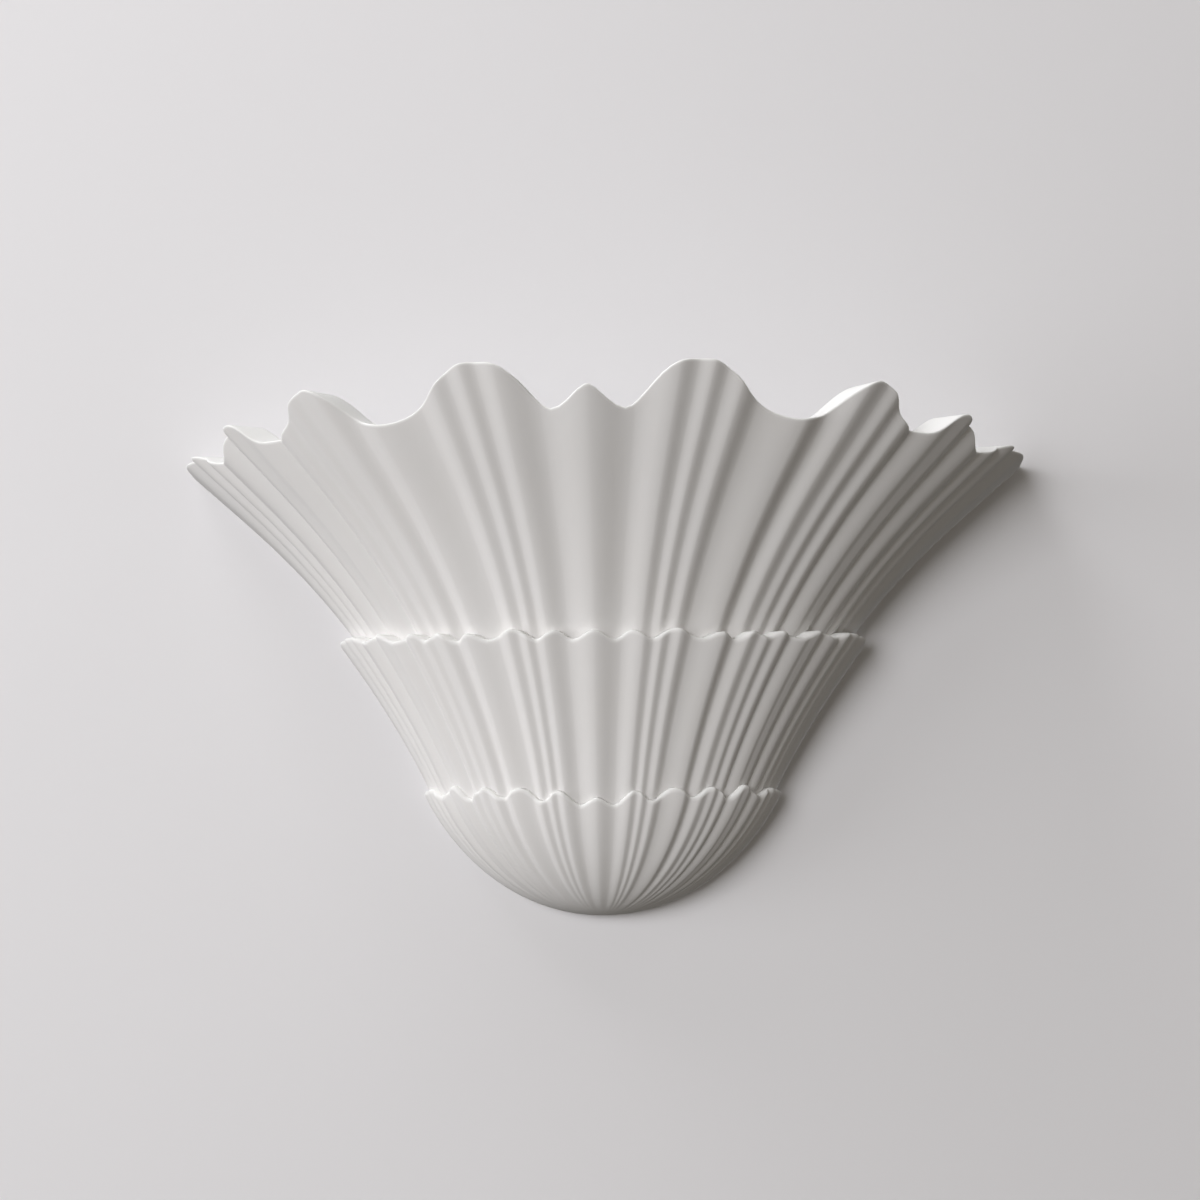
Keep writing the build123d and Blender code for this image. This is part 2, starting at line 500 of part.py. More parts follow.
# ================================================================ terminal block
block_half, block_top = 1.5 * POLE_PITCH, BLOCK_BOTTOM + BLOCK_TALL
terminal_housing = block(-block_half, block_half, FRONT, block_front, BLOCK_BOTTOM, block_top)
terminal_housing = fillet(terminal_housing.faces().sort_by(Axis.Y)[0].edges(), BLOCK_EDGE)
terminal_inserts, terminal_screws, block_nuts = [], [], []
half = INSERT_SQUARE / 2
for x in (-POLE_PITCH, 0, POLE_PITCH):
    channel = block(x - half, x + half, WIRE_Y - half, WIRE_Y + half, BLOCK_BOTTOM, block_top)
    terminal_housing = terminal_housing - channel
    low = block_middle - INSERT_TALL / 2
    insert = block(x - half, x + half, WIRE_Y - half, WIRE_Y + half, low, low + INSERT_TALL)
    insert = insert - Pos(x, WIRE_Y, low) * rod(WIRE_BORE, INSERT_TALL)
    for z in (block_middle - TERMINAL_OFFSET, block_middle + TERMINAL_OFFSET):
        well = forward(rod(TERMINAL_HEAD + HOLE_PLAY, BLOCK_DEEP), x, insert_front, z)
        terminal_housing = terminal_housing - well
        insert = insert - forward(rod(TERMINAL_SHANK + THREAD_PLAY, half), x, WIRE_Y, z)
        tip = WIRE_Y - CORE - HOLE_PLAY
        pin = forward(rod(TERMINAL_SHANK, tip - insert_front), x, tip, z)
        head = forward(rod(TERMINAL_HEAD, TERMINAL_TALL), x, insert_front, z)
        face = insert_front - TERMINAL_TALL
        drive = block(x - half, x + half, face, face + DRIVE_DEEP, z - DRIVE_WIDE / 2, z + DRIVE_WIDE / 2)
        terminal_screws.append(pin + head - drive)
    terminal_inserts.append(insert)
for x in (-BLOCK_STUD_X, BLOCK_STUD_X):
    terminal_housing = terminal_housing - forward(rod(M3 + HOLE_PLAY, BLOCK_DEEP), x, FRONT, block_middle)
    counterbore = rod(M3_FLATS / 2 / math.cos(math.pi / 6) + THREAD_PLAY, nut_seat - block_front)
    terminal_housing = terminal_housing - forward(counterbore, x, nut_seat, block_middle)
    block_nuts.append(forward(nut(M3_FLATS, M3_NUT, M3), x, nut_seat, block_middle))

# ================================================================ leads and earth
clip_low = HOLDER_TOP - CLIP_POCKET
core = BLOCK_TALL / 2 - CORE_SHORT


def rise_and_out(start_x, drop, end_x, forward_first):
    """Run from a pole's top entry to a contact clip above the tray, crossing at a level below the tray."""
    level_up = TRAY_UP - drop
    turn = (start_x, LAMP_Y, level_up) if forward_first else (end_x, WIRE_Y, level_up)
    points = [(start_x, WIRE_Y, block_top), (start_x, WIRE_Y, level_up), turn]
    return lead(points + [(end_x, LAMP_Y, level_up), (end_x, LAMP_Y, clip_low)], core)


live_leads = [
    rise_and_out(LIVE_X - LEAD_PITCH / 2, SIDE_DROP, -LAMP_X - PIN_PITCH / 2, False),
    rise_and_out(LIVE_X + LEAD_PITCH / 2, CROSS_DROP, LAMP_X - PIN_PITCH / 2, True),
]
neutral_leads = [
    rise_and_out(NEUTRAL_X - LEAD_PITCH / 2, LOW_DROP, -LAMP_X + PIN_PITCH / 2, True),
    rise_and_out(NEUTRAL_X + LEAD_PITCH / 2, SIDE_DROP, LAMP_X + PIN_PITCH / 2, False),
]
barrel_y = FRONT - BARREL
neck_up = -RING - NECK_LONG / 3
barrel_low = EARTH_UP + neck_up - NECK_LONG / 3 - BARREL_LONG
earth_low = BLOCK_BOTTOM - EARTH_DROP
earth_lead = lead([
    (0, WIRE_Y, BLOCK_BOTTOM),
    (0, WIRE_Y, earth_low),
    (EARTH_X, barrel_y, earth_low),
    (EARTH_X, barrel_y, barrel_low + BARREL_LONG - CORE_SHORT),
], core)

ring = rod(RING, RING_THICK) + extrude(Pos(0, neck_up) * Rectangle(NECK_WIDE, NECK_LONG), RING_THICK)
ring = ring - rod(M4 + HOLE_PLAY, RING_THICK)
earth_ring = forward(ring, EARTH_X, FRONT, EARTH_UP)
barrel = rod(BARREL, BARREL_LONG) - rod(LEAD + THREAD_PLAY, BARREL_LONG)
earth_ring = earth_ring + Pos(EARTH_X, barrel_y, barrel_low) * barrel
washer = rod(RING, RING_THICK) - rod(M4 + HOLE_PLAY, RING_THICK)
earth_washer = forward(washer, EARTH_X, FRONT - RING_THICK, EARTH_UP)
earth_nut = forward(nut(M4_FLATS, M4_NUT, M4), EARTH_X, FRONT - 2 * RING_THICK, EARTH_UP)

# ================================================================ parts
left_screws, left_nuts = foot_fasteners(-LAMP_X)
right_screws, right_nuts = foot_fasteners(LAMP_X)
parts = {
    "upper_shell": [upper_shell],
    "middle_shell": [middle_shell],
    "lower_bowl": [lower_bowl],
    "hanger_bar": [hanger_bar],
    "hanger_screws": hanger_screws,
    "hanger_inserts": hanger_inserts,
    "wall_plate": [wall_plate],
    "cable_grommet": [cable_grommet],
    "plate_studs": plate_studs,
    "lamp_tray": [lamp_tray],
    "tray_nuts": tray_nuts,
    "holder_left": [lampholder(-LAMP_X)],
    "holder_right": [lampholder(LAMP_X)],
    "clips_left": clips(-LAMP_X),
    "clips_right": clips(LAMP_X),
    "holder_screws": left_screws + right_screws,
    "holder_nuts": left_nuts + right_nuts,
    "terminal_housing": [terminal_housing],
    "terminal_inserts": terminal_inserts,
    "terminal_screws": terminal_screws,
    "block_nuts": block_nuts,
    "earth_ring": [earth_ring],
    "earth_washer": [earth_washer],
    "earth_nut": [earth_nut],
    "live_leads": live_leads,
    "neutral_leads": neutral_leads,
    "earth_lead": [earth_lead],
}
for side, x in (("left", -LAMP_X), ("right", LAMP_X)):
    parts["lamp_base_" + side] = [lamp_base(x)]
    parts["lamp_pins_" + side] = lamp_pins(x)
    parts["lamp_board_" + side] = [lamp_board(x)]
    parts["lamp_chips_" + side] = lamp_chips(x)
    parts["lamp_cover_" + side] = [lamp_cover(x)]

os.makedirs("parts", exist_ok=True)
for name, shapes in parts.items():
    solids = [solid for shape in shapes for solid in shape.solids()]
    whole = solids[0] if len(solids) == 1 else Compound(label=name, children=solids)
    export_step(Pos(0, 0, -MOUNT_HEIGHT) * whole, "parts/" + name + ".step")
    print(name, len(solids), "valid" if all(s.is_valid for s in solids) else "NOT VALID")
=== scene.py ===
"""Shell wall sconce: a plaster shade in three fluted tiers on a steel wall bracket with two capsule lamps.

Metres, Z up, the wall is the plane y = 0 and the front faces -Y. The shade's curves are written in
millimetres above the bottom of the bowl, as a modeller would measure them.
"""
import math

import bpy
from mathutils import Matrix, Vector


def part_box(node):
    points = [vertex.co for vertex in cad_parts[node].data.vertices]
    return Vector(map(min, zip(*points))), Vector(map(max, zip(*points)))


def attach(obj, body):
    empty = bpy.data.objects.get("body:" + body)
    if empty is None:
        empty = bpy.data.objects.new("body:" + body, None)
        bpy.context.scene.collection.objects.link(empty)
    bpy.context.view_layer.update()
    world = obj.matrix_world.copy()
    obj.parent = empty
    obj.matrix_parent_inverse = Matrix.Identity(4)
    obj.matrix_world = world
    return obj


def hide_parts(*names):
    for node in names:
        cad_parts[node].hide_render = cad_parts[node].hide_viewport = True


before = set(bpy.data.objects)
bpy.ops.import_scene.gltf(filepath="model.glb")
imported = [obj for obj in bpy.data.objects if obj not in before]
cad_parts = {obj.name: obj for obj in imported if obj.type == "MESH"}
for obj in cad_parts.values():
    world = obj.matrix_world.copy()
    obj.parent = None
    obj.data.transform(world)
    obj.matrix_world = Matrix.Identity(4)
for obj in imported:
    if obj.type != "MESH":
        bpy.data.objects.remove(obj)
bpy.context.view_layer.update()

bl_info = {
    "name": "Shell wall sconce",
    "version": (1, 0, 0),
    "blender": (4, 5, 0),
    "location": "3D View > Sidebar > Sconce",
    "description": "Builds a fluted plaster wall light with its bracket and lamps",
    "category": "Object",
}

# ---------------------------------------------------------------- curves of the shade, in millimetres
PLAN_RATIO = 0.60          # depth of the plan ellipse over its half width
MOUNT_HEIGHT = 200.0       # height of the origin above the bottom of the bowl
FILM = 0.2                 # bonding plaster between two tiers
# each flared tier: height, half width and slope low down, height and half width where the curve ends
# (the upper tier runs straight above that)
UPPER = (187.0, 171.0, 0.72, 281.0, 258.65)
MIDDLE = (93.0, 123.8, 0.525, 187.0, 184.4)
BOWL_HEIGHT, BOWL_RADIUS = 175.0, 145.7
# walls, measured level: the upper tier's at its foot and at height UPPER_WALL_UP, then the lower ones'
UPPER_WALL_FOOT, UPPER_WALL_RIM, UPPER_WALL_UP = 16.0, 26.0, 330.0
MIDDLE_WALL, BOWL_WALL, POLE_WALL = 12.0, 12.0, 10.0
# half width inside the middle tier at the upper tier's foot, and inside the bowl's rim
MIDDLE_LEDGE, BOWL_LEDGE = 152.0, 107.0
POLE = 0.3                 # height of the bowl's lowest point
# lugs for the hanging bar: from the screw to the inner end, depth, height, reach into the wall, rounding
LUG_MARGIN, LUG_DEEP, LUG_TALL, LUG_REACH, LUG_SOFT = 14.0, 20.0, 26.0, 4.0, 1.2
INSERT_RADIUS, DRILL_LONG = 3.0, 24.0
FLUTE_FADE = 9.0           # height over which the flutes grow out of the bowl's smooth bottom

# crests and valleys from the front to the wall: angle, level from -1 to 1, creased or rounded
FLUTES = [
    (0.0, 1.0, False), (5.9, -1.0, False), (10.5, 0.9, False), (12.7, 0.0, False), (14.4, 0.75, False),
    (16.3, -0.05, False), (18.3, 0.75, False), (21.5, -0.9, False), (28.1, 1.0, False), (31.6, -1.0, False),
    (34.5, 0.75, False), (37.4, -0.1, False), (39.2, 0.5, False), (41.5, -0.25, False), (43.5, 0.55, False),
    (46.3, -0.9, True), (50.5, 0.8, False), (52.5, 0.4, False), (54.5, 0.35, False), (57.0, -1.0, True),
    (61.0, 0.6, False), (64.6, -0.5, True), (67.0, 0.5, False), (69.4, -0.6, True), (72.2, 0.45, False),
    (75.3, -0.75, True), (80.0, 0.5, False), (86.0, 0.15, True), (90.0, 0.15, False),
]
# crests and notches of each rim: angle, height
UPPER_RIM = [
    (0.0, 326.0), (2.5, 316.9), (4.7, 312.4), (6.2, 317.2), (7.6, 325.3), (9.3, 334.8), (11.5, 339.0),
    (13.4, 339.4), (15.4, 337.3), (16.9, 333.2), (19.2, 323.8), (21.3, 318.2), (23.8, 312.1), (27.2, 308.7),
    (30.4, 311.8), (31.8, 315.2), (32.7, 322.6), (34.2, 330.2), (35.8, 333.6), (37.5, 332.3), (39.4, 326.8),
    (41.2, 321.6), (43.0, 314.1), (46.9, 309.7), (49.2, 309.2), (50.8, 312.8), (51.7, 319.0), (53.2, 323.4),
    (55.6, 321.4), (58.4, 316.1), (60.4, 309.2), (62.6, 306.2), (66.0, 307.2), (69.1, 312.0), (71.4, 315.4),
    (78.0, 315.4), (90.0, 314.6),
]
MIDDLE_RIM = [
    (0.0, 182.2), (4.7, 176.2), (8.0, 182.6), (12.6, 177.0), (17.4, 183.7), (24.3, 177.7), (27.7, 182.2),
    (32.9, 178.1), (35.5, 184.0), (40.4, 180.0), (43.0, 184.9), (49.8, 181.3), (55.2, 187.5), (62.3, 184.3),
    (68.6, 189.6), (77.0, 189.8), (90.0, 187.0),
]
BOWL_RIM = [
    (0.0, 75.6), (5.5, 70.9), (12.3, 80.3), (18.3, 73.7), (25.0, 82.4), (33.1, 76.7), (38.9, 83.5),
    (47.6, 76.9), (52.8, 85.9), (63.0, 79.6), (71.0, 85.5), (83.0, 84.8), (90.0, 82.5),
]
RIM_SOFT, FLUTE_SOFT = 0.8, 0.3    # degrees over which rims and creases are rounded
# where the columns of a tier stand between two flute points: close beside each crease, then even
COLUMN_SHARES = (0.0, 0.05, 0.2, 0.4, 0.6, 0.8, 0.95)
# rows of points up each tier's outside; the bowl's rows crowd towards its bottom by this power
UPPER_ROWS, MIDDLE_ROWS, BOWL_ROWS, BOWL_CROWD = 34, 28, 34, 2.0
# a rim's outer corner: how far its rounding runs inwards over how far it runs down, and its steps; the
# shares of the flat top that have a row; the steps of its inner corner
LIP_RUN, LIP_STEPS, TOP_SHARES, INNER_STEPS = 1.2, 7, (0.35, 0.65), 3

# ---------------------------------------------------------------- camera, in millimetres from the origin
CAMERA_PLACE = (73.7, -1393.8, -234.6)
CAMERA_TARGET = (-1.7, 0.0, 21.1)
CAMERA_LENS, CAMERA_SENSOR = 60.0, 36.0

# ---------------------------------------------------------------- stage, in metres from the origin
STAGE_SIZE = 8.0
WALL_PLACE = (0, 0.0001, 0.6)      # a hair behind the object, so that no light comes out between them
FLOOR_PLACE = (0, 0, -1.0)
# lamps: name, diameter and place
LAMPS = (
    ("key", 2.2, (-1.97, -3.41, 0.70)),
    ("side", 3.2, (-6.15, -2.05, -0.05)),
    ("high", 2.0, (-1.85, -0.85, 3.45)),
    ("low", 1.5, (-2.40, -2.90, -1.35)),
    ("right", 1.5, (2.50, -0.35, 3.10)),
    ("edge", 1.2, (3.35, -0.90, -2.00)),
    ("rear", 1.4, (0.0, 3.0, 0.5)),
)


class SconceShade(bpy.types.PropertyGroup):
    """Sizes and colour of the plaster shade."""

    relief: bpy.props.FloatProperty(
        name="Flute depth", description="Height of a full flute over the half width", default=0.015, min=0.0,
        max=0.03)
    rim_round: bpy.props.FloatProperty(
        name="Rim rounding", description="How far the rounding runs back from the outer edge of the top rim",
        default=0.0024, subtype="DISTANCE", unit="LENGTH")
    lip_round: bpy.props.FloatProperty(
        name="Lip rounding", description="The same for the rims of the middle tier and the bowl",
        default=0.0038, subtype="DISTANCE", unit="LENGTH")
    inner_round: bpy.props.FloatProperty(
        name="Inner rounding", description="How far the rounding runs back from the inner edge of a rim",
        default=0.0020, subtype="DISTANCE", unit="LENGTH")
    plaster: bpy.props.StringProperty(
        name="Plaster", description="Colour of the painted plaster, as a hex value", default="E8E7E6")
    # painted highlight: the whiter colour painted along the rims stands in for the light their rounded edges
    # catch
    rim_highlight: bpy.props.StringProperty(
        name="Painted rim highlight", description="Colour of the plaster along the rims, as a hex value",
        default="F8F8F6")


class SconceStage(bpy.types.PropertyGroup):
    """Colours and light of the studio."""

    wall: bpy.props.StringProperty(name="Wall", description="Colour of the wall, as a hex value",
                                   default="E6E5E6")
    wall_bounce: bpy.props.StringProperty(name="Wall for the object",
                                          description="Colour of the wall that lights the object",
                                          default="303030")
    floor: bpy.props.StringProperty(name="Floor", description="Colour of the floor, as a hex value",
                                    default="E2E0DD")
    floor_level: bpy.props.FloatProperty(name="Floor level", description="How bright the floor is",
                                         default=0.85)
    backdrop: bpy.props.FloatProperty(name="Backdrop", description="How bright the surroundings look",
                                      default=0.82)
    key: bpy.props.FloatProperty(name="Key light", description="Power of the lamp at the front left",
                                 default=95.0, unit="POWER")
    side: bpy.props.FloatProperty(name="Side light", description="Power of the lamp far out on the left",
                                  default=138.0, unit="POWER")
    high: bpy.props.FloatProperty(name="High light", description="Power of the lamp above on the left",
                                  default=66.0, unit="POWER")
    low: bpy.props.FloatProperty(name="Low light", description="Power of the lamp below on the left",
                                 default=5.0, unit="POWER")
    right: bpy.props.FloatProperty(name="Right light", description="Power of the lamp above on the right",
                                   default=20.0, unit="POWER")
    edge: bpy.props.FloatProperty(name="Edge light", description="Power of the lamp below on the right",
                                  default=6.0, unit="POWER")
    rear: bpy.props.FloatProperty(name="Rear light", description="Power of the lamp behind the wall",
                                  default=60.0, unit="POWER")
    lamps: bpy.props.StringProperty(name="Lamp colour", description="Colour of all lamps, as a hex value",
                                    default="FCFCFF")
    ambient: bpy.props.StringProperty(name="Ambient colour",
                                      description="Colour of the light from all round, as a hex value",
                                      default="FFF3E0")
    world: bpy.props.FloatProperty(name="Ambient", description="Strength of the light from all round",
                                   default=0.135)


# ================================================================ small tools
def deselect():
    bpy.ops.object.select_all(action="DESELECT")


def linear(hex_colour):
    """sRGB hex value to linear red, green, blue and 1."""
    parts = [int(hex_colour[k:k + 2], 16) / 255 for k in (0, 2, 4)]
    return [p / 12.92 if p <= 0.04045 else ((p + 0.055) / 1.055) ** 2.4 for p in parts] + [1.0]


def add_node(tree, kind, links=(), sockets=(), **settings):
    """Adds a node with its settings, its sockets' values and its links."""
    node = tree.nodes.new(kind)
    for key, value in settings.items():
        setattr(node, key, value)
    for socket, value in sockets:
        node.inputs[socket].default_value = value
    for socket, source in links:
        tree.links.new(source, node.inputs[socket])
    return node


def new_material(name):
    """An empty material with its output node, and the coordinates of the object."""
    material = bpy.data.materials.new(name)
    material.use_nodes = True
    tree = material.node_tree
    tree.nodes.clear()
    output = add_node(tree, "ShaderNodeOutputMaterial")
    place = add_node(tree, "ShaderNodeTexCoord").outputs["Object"]
    return material, tree, output, place


# ================================================================ materials
def painted_gypsum_plaster():
    """Gypsum plaster cast in a rubber mould and painted matt white: chalky, no shine, with a very fine grain
    and a faint unevenness from rubbing down. The rims carry a painted highlight: a whiter colour along them."""
    material, tree, output, place = new_material("painted_gypsum_plaster")
    white = linear(bpy.context.scene.sconce_shade.plaster)
    # rubbing down leaves patches about 40 mm across that are a shade warmer
    patches = add_node(tree, "ShaderNodeTexNoise", [("Vector", place)],
                       [("Scale", 25.0), ("Detail", 3.0), ("Roughness", 0.55)])
    warm = [white[0], white[1] * 0.992, white[2] * 0.978, 1.0]
    colour = add_node(tree, "ShaderNodeMix", [("Factor", patches.outputs["Fac"])], [(6, white), (7, warm)],
                      data_type="RGBA")
    # painted highlight: the rims are painted whiter, standing in for the light that their rounded edges
    # catch from above
    lip = add_node(tree, "ShaderNodeAttribute", attribute_name="lip")
    colour = add_node(tree, "ShaderNodeMix", [("Factor", lip.outputs["Fac"]), (6, colour.outputs[2])],
                      [(7, linear(bpy.context.scene.sconce_shade.rim_highlight))], data_type="RGBA")
    # paint grain about 0.6 mm across, and hollows about 9 mm across left by the mould
    grain = add_node(tree, "ShaderNodeTexNoise", [("Vector", place)],
                     [("Scale", 1600.0), ("Detail", 2.0), ("Roughness", 0.6)])
    hollows = add_node(tree, "ShaderNodeTexNoise", [("Vector", place)],
                       [("Scale", 110.0), ("Detail", 2.0), ("Roughness", 0.45)])
    fine = add_node(tree, "ShaderNodeBump", [("Height", grain.outputs["Fac"])],
                    [("Strength", 0.35), ("Distance", 0.00006)])
    broad = add_node(tree, "ShaderNodeBump", [("Height", hollows.outputs["Fac"]),
                                              ("Normal", fine.outputs["Normal"])],
                     [("Strength", 0.5), ("Distance", 0.00025)])
    shader = add_node(tree, "ShaderNodeBsdfPrincipled",
                      [("Base Color", colour.outputs[2]), ("Normal", broad.outputs["Normal"])],
                      [("Roughness", 0.88), ("IOR", 1.5), ("Specular IOR Level", 0.25)])
    tree.links.new(shader.outputs[0], output.inputs[0])
    return material


def coated_metal(name, hex_colour, roughness, grain_size, metallic=1.0, bump=0.00002):
    """Metal or lacquered metal with a grain: its colour and roughness vary a little over grain_size."""
    material, tree, output, place = new_material(name)
    grain = add_node(tree, "ShaderNodeTexNoise", [("Vector", place)],
                     [("Scale", 1.0 / grain_size), ("Detail", 4.0), ("Roughness", 0.6)])
    base = linear(hex_colour)
    dull = [c * 0.82 for c in base[:3]] + [1.0]
    colour = add_node(tree, "ShaderNodeMix", [("Factor", grain.outputs["Fac"])], [(6, base), (7, dull)],
                      data_type="RGBA")
    rough = add_node(tree, "ShaderNodeMapRange", [("Value", grain.outputs["Fac"])],
                     [("To Min", roughness * 0.8), ("To Max", min(roughness * 1.25, 1.0))])
    relief = add_node(tree, "ShaderNodeBump", [("Height", grain.outputs["Fac"])],
                      [("Strength", 0.4), ("Distance", bump)])
    shader = add_node(tree, "ShaderNodeBsdfPrincipled",
                      [("Base Color", colour.outputs[2]), ("Roughness", rough.outputs[0]),
                       ("Normal", relief.outputs["Normal"])],
                      [("Metallic", metallic)])
    tree.links.new(shader.outputs[0], output.inputs[0])
    return material


def moulded(name, hex_colour, roughness, grain_size=0.0006, sheen=0.0):
    """Moulded or pressed non-metal with the fine skin of its mould."""
    material, tree, output, place = new_material(name)
    grain = add_node(tree, "ShaderNodeTexNoise", [("Vector", place)],
                     [("Scale", 1.0 / grain_size), ("Detail", 3.0), ("Roughness", 0.5)])
    base = linear(hex_colour)
    shade = [c * 0.9 for c in base[:3]] + [1.0]
    colour = add_node(tree, "ShaderNodeMix", [("Factor", grain.outputs["Fac"])], [(6, base), (7, shade)],
                      data_type="RGBA")
    relief = add_node(tree, "ShaderNodeBump", [("Height", grain.outputs["Fac"])],
                      [("Strength", 0.3), ("Distance", 0.00003)])
    shader = add_node(tree, "ShaderNodeBsdfPrincipled",
                      [("Base Color", colour.outputs[2]), ("Normal", relief.outputs["Normal"])],
                      [("Roughness", roughness), ("Sheen Weight", sheen)])
    tree.links.new(shader.outputs[0], output.inputs[0])
    return material


# finish of each hidden piece: its node's name without the side, and its material
FINISHES = {
    "wall_plate": "powder_coated_steel", "lamp_tray": "powder_coated_steel",
    "hanger_bar": "zinc_electroplate", "hanger_screws": "zinc_electroplate",
    "plate_studs": "zinc_electroplate", "tray_nuts": "zinc_electroplate",
    "holder_screws": "zinc_electroplate", "holder_nuts": "zinc_electroplate",
    "block_nuts": "zinc_electroplate", "terminal_screws": "zinc_electroplate",
    "earth_nut": "zinc_electroplate", "clips": "nickel_plated_spring", "lamp_pins": "nickel_plated_spring",
    "hanger_inserts": "turned_brass", "terminal_inserts": "turned_brass", "earth_washer": "turned_brass",
    "earth_ring": "tinned_copper_sheet", "cable_grommet": "moulded_rubber", "holder": "pressed_steatite",
    "lamp_base": "glazed_lamp_ceramic", "terminal_housing": "unpigmented_nylon",
    "live_leads": "brown_silicone_rubber", "neutral_leads": "blue_silicone_rubber",
    "earth_lead": "green_silicone_rubber", "lamp_board": "white_board_lacquer",
    "lamp_chips": "led_phosphor_gel", "lamp_cover": "frosted_polycarbonate",
}


def finish_materials():
    """The materials of FINISHES, each named for what the real one is."""
    made = [
        # electrostatic powder coat bakes to a fine orange peel, about 1 mm across
        coated_metal("powder_coated_steel", "E6E5E1", 0.45, 0.0010, metallic=0.0, bump=0.00006),
        # zinc plate is a bluish grey with a mild satin spread
        coated_metal("zinc_electroplate", "B4B8BC", 0.34, 0.0030),
        # nickel is warmer and brighter than zinc
        coated_metal("nickel_plated_spring", "C9C5BC", 0.25, 0.0020),
        # turned brass with faint dulling
        coated_metal("turned_brass", "C9A45C", 0.30, 0.0015),
        coated_metal("tinned_copper_sheet", "BDB8AE", 0.38, 0.0015),
        # black rubber keeps a dry, grey bloom
        moulded("moulded_rubber", "1F1F20", 0.75, sheen=0.15),
        # pressed steatite is an off-white, slightly granular ceramic without glaze
        moulded("pressed_steatite", "E9E4D8", 0.62, 0.0008),
        moulded("glazed_lamp_ceramic", "EEEDE9", 0.28, 0.0012),
        # nylon without pigment is milky and a little yellow
        moulded("unpigmented_nylon", "E2DECF", 0.42),
        moulded("brown_silicone_rubber", "55321F", 0.5),
        moulded("blue_silicone_rubber", "24498C", 0.5),
        moulded("green_silicone_rubber", "3F7A2C", 0.5),
        moulded("white_board_lacquer", "EFEFEB", 0.4, 0.0010),
        moulded("led_phosphor_gel", "E8C44A", 0.5, 0.0005),
        moulded("frosted_polycarbonate", "F0EFEC", 0.5, 0.0007),
    ]
    return {material.name: material for material in made}


# ================================================================ curves
def smooth(table, angle):
    """Monotone cubic through a table of (angle, value) points, level at both ends."""
    k = 0
    while k < len(table) - 2 and angle > table[k + 1][0]:
        k += 1
    steps = [b[0] - a[0] for a, b in zip(table, table[1:])]
    rises = [(b[1] - a[1]) / s for a, b, s in zip(table, table[1:], steps)]

    def slope(at):
        if at in (0, len(table) - 1) or rises[at - 1] * rises[at] <= 0:
            return 0.0
        near, far = 2 * steps[at] + steps[at - 1], steps[at] + 2 * steps[at - 1]
        return (near + far) / (near / rises[at - 1] + far / rises[at])

    s = (angle - table[k][0]) / steps[k]
    start = table[k][1] * (1 + 2 * s) + steps[k] * slope(k) * s
    end = table[k + 1][1] * (3 - 2 * s) - steps[k] * slope(k + 1) * (1 - s)
    return start * (1 - s) ** 2 + end * s ** 2


def soften(curve, angle, reach):
    """A curve of the angle from the front, its crests and creases rounded over reach degrees."""
    before, after = curve(abs(angle - reach)), curve(min(angle + reach, 90.0))
    return (before + 2 * curve(angle) + after) / 4


def rim(table, angle):
    return soften(lambda at: smooth(table, at), angle, RIM_SOFT)


def flute(angle):
    """Flute level at an angle: rounded at plain points, creased at sharp ones."""
    for (a0, v0, sharp0), (a1, v1, sharp1) in zip(FLUTES, FLUTES[1:]):
        if angle <= a1:
            s = (angle - a0) / (a1 - a0)
            if sharp0 and sharp1:
                blend = s
            elif sharp0:
                blend = math.sin(s * math.pi / 2)
            elif sharp1:
                blend = 1 - math.cos(s * math.pi / 2)
            else:
                blend = (1 - math.cos(s * math.pi)) / 2
            return v0 + (v1 - v0) * blend
    return FLUTES[-1][1]


def flare(height, foot, radius, slope, top, reach):
    """Half width of a curve that leaves foot at a slope, passes reach at top and runs straight above."""
    curve = (reach - radius - slope * (top - foot)) / (top - foot) ** 2
    rise = min(height, top) - foot
    straight = max(height - top, 0.0)
    return radius + slope * rise + curve * rise ** 2 + straight * (slope + 2 * curve * rise)


def upper_outside(height):
    return flare(height, *UPPER)


def upper_inside(height):
    share = (height - UPPER[0]) / (UPPER_WALL_UP - UPPER[0])
    return upper_outside(height) - UPPER_WALL_FOOT - (UPPER_WALL_RIM - UPPER_WALL_FOOT) * share


def middle_outside(height):
    return flare(height, *MIDDLE)


def middle_inside(height):
    foot, radius, slope, top, _ = MIDDLE
    return flare(height, foot, radius - MIDDLE_WALL, slope, top, MIDDLE_LEDGE)


def bowl_outside(height):
    return BOWL_RADIUS * math.sqrt(max(1 - (1 - height / BOWL_HEIGHT) ** 2, 0.0))


def bowl_inside(height):
    low = max(height - POLE_WALL, 0.0)
    shrunk = (BOWL_RADIUS - BOWL_WALL) * math.sqrt(max(1 - (1 - low / (BOWL_HEIGHT - POLE_WALL)) ** 2, 0.0))
    return min(shrunk, BOWL_LEDGE)


def column_angles():
    """Angles of a tier's columns from wall to wall, each flute point among them."""
    marks = [a for a, _, _ in FLUTES]
    right = [a + (b - a) * share for a, b in zip(marks, marks[1:]) for share in COLUMN_SHARES] + [marks[-1]]
    return [-a for a in reversed(right[1:])] + right


def rounded_corner(before, corner, after, count):
    """Points of a soft corner between two points on its legs."""
    points = []
    for k in range(count + 1):
        s = k / count
        points.append([p * (1 - s) ** 2 + 2 * c * s * (1 - s) + q * s ** 2
                       for p, c, q in zip(before, corner, after)])
    return points


